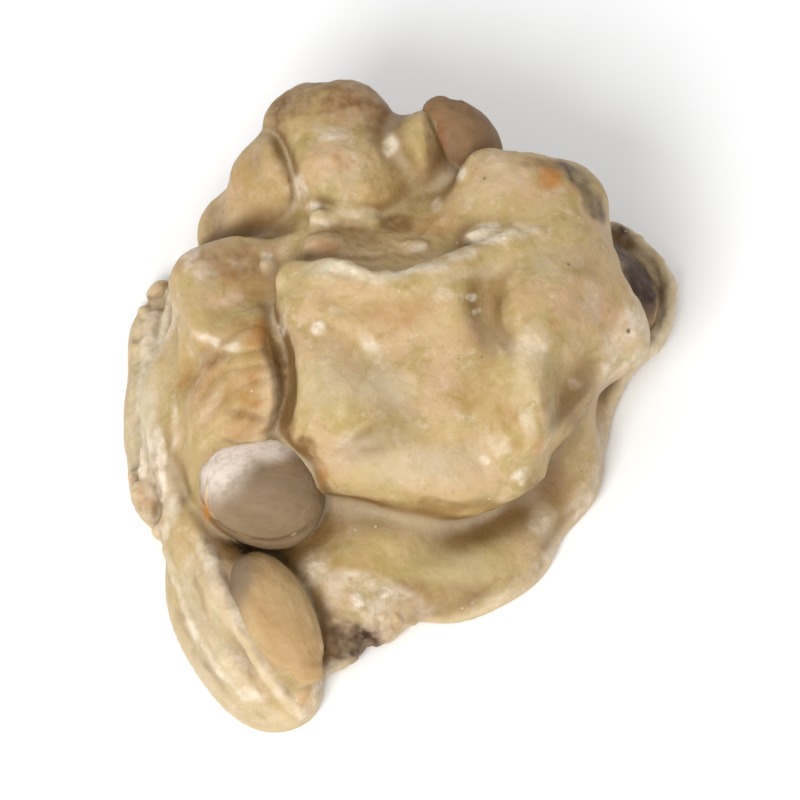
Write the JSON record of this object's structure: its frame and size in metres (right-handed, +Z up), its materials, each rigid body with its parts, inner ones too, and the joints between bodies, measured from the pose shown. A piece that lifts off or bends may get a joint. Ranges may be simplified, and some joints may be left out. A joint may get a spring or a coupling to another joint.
{
  "type": "white chocolate peanut cluster",
  "caption": "Irregular spooned mound of white chocolate over whole roasted peanuts, flat underneath with a thin spread rim and a tongue at the front where bare kernels show.",
  "frame": {"origin": "middle of the flat underside's bounding rectangle, on the surface the cluster rests on", "axes": "+Z up, +Y towards the back, -Y towards the long tongue of the rim, +X to the right seen from the front"},
  "size_m": [0.0404, 0.048, 0.0181],
  "materials": {
    "white_chocolate": "soft semi-gloss, as set white chocolate",
    "roasted_peanut": "satin, slightly oily"
  },
  "bodies": {
    "root": {"chocolate": "white_chocolate", "kernel_round": "roasted_peanut", "kernel_long": "roasted_peanut", "kernel_crown": "roasted_peanut", "kernel_back": "roasted_peanut", "kernel_split": "roasted_peanut"}
  },
  "joints": []
}
